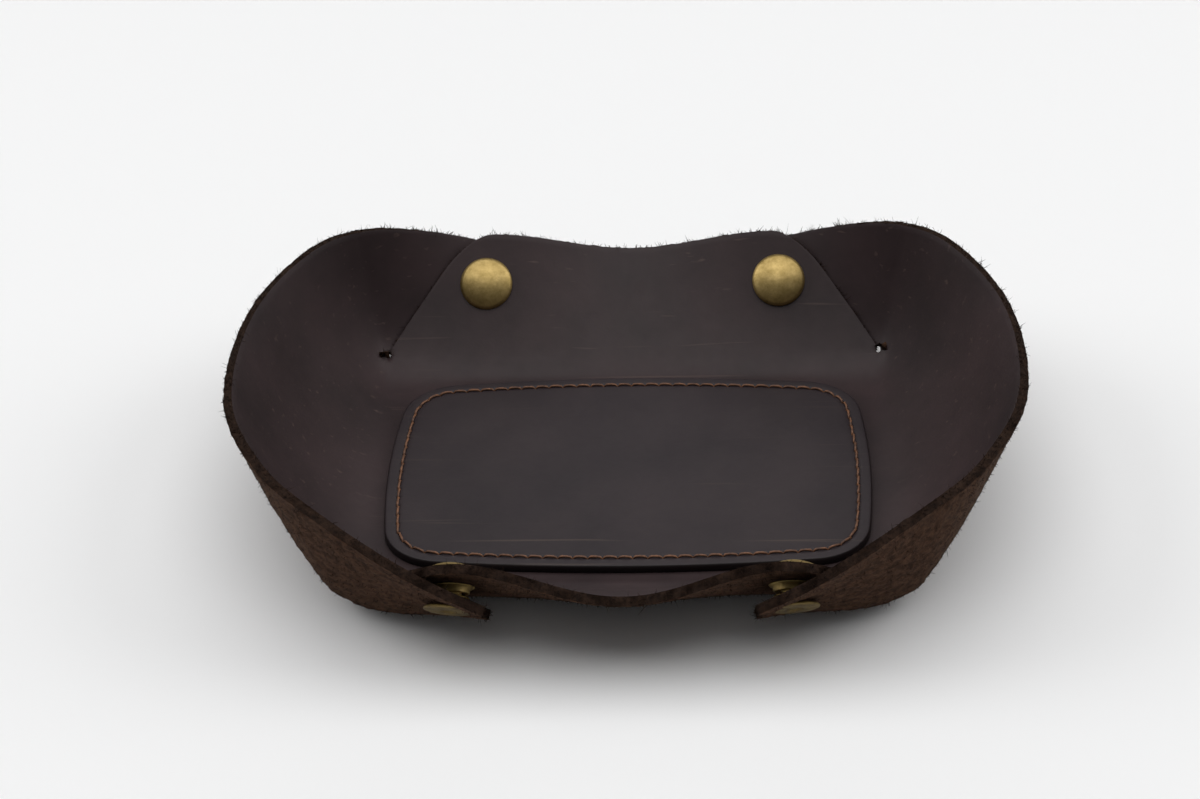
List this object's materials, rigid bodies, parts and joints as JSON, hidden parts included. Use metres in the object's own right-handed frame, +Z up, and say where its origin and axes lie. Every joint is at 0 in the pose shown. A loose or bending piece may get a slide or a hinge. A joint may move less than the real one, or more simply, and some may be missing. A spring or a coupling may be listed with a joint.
{
  "type": "leather valet tray",
  "caption": "Shallow leather catch-all tray folded from one slit sheet, with raised end wings, press-stud corners and a stitched base pad.",
  "frame": {"origin": "middle of the underside, on the surface the tray stands on", "axes": "+Z up, +X along the tray, +Y towards the rear panel"},
  "size_m": [0.1742, 0.138, 0.0361],
  "materials": {
    "tray_leather": "oiled full-grain leather, dark brown grain side and brown suede flesh side",
    "pad_leather": "oiled full-grain leather, dark brown, burnished edge",
    "thread": "waxed brown sewing thread",
    "brass": "antique brass"
  },
  "bodies": {
    "tray": {"leather_body": "tray_leather", "base_pad": "pad_leather", "needle_thread": "thread", "bobbin_thread": "thread", "rear_right_snap_cap": "brass", "rear_right_snap_socket": "brass", "rear_left_snap_cap": "brass", "rear_left_snap_socket": "brass", "front_right_snap_cap": "brass", "front_right_snap_socket": "brass", "front_left_snap_cap": "brass", "front_left_snap_socket": "brass"},
    "rear_right_flap": {"rear_right_tab": "tray_leather", "rear_right_snap_stud": "brass", "rear_right_snap_post": "brass"},
    "rear_left_flap": {"rear_left_tab": "tray_leather", "rear_left_snap_stud": "brass", "rear_left_snap_post": "brass"},
    "front_right_flap": {"front_right_tab": "tray_leather", "front_right_snap_stud": "brass", "front_right_snap_post": "brass"},
    "front_left_flap": {"front_left_tab": "tray_leather", "front_left_snap_stud": "brass", "front_left_snap_post": "brass"}
  },
  "joints": [
    {"name": "rear_right_peel", "type": "hinge", "parent": "tray", "child": "rear_right_flap", "pos_m": [0.0415, 0.06088, 0.01385], "axis": [0, -0.6482, -0.7615], "range_deg": [0, 45]},
    {"name": "rear_left_peel", "type": "hinge", "parent": "tray", "child": "rear_left_flap", "pos_m": [-0.0415, 0.06088, 0.01385], "axis": [0, 0.6482, 0.7615], "range_deg": [0, 45]},
    {"name": "front_right_peel", "type": "hinge", "parent": "tray", "child": "front_right_flap", "pos_m": [0.0415, -0.06088, 0.01385], "axis": [0, -0.6482, 0.7615], "range_deg": [0, 45]},
    {"name": "front_left_peel", "type": "hinge", "parent": "tray", "child": "front_left_flap", "pos_m": [-0.0415, -0.06088, 0.01385], "axis": [0, 0.6482, -0.7615], "range_deg": [0, 45]}
  ]
}
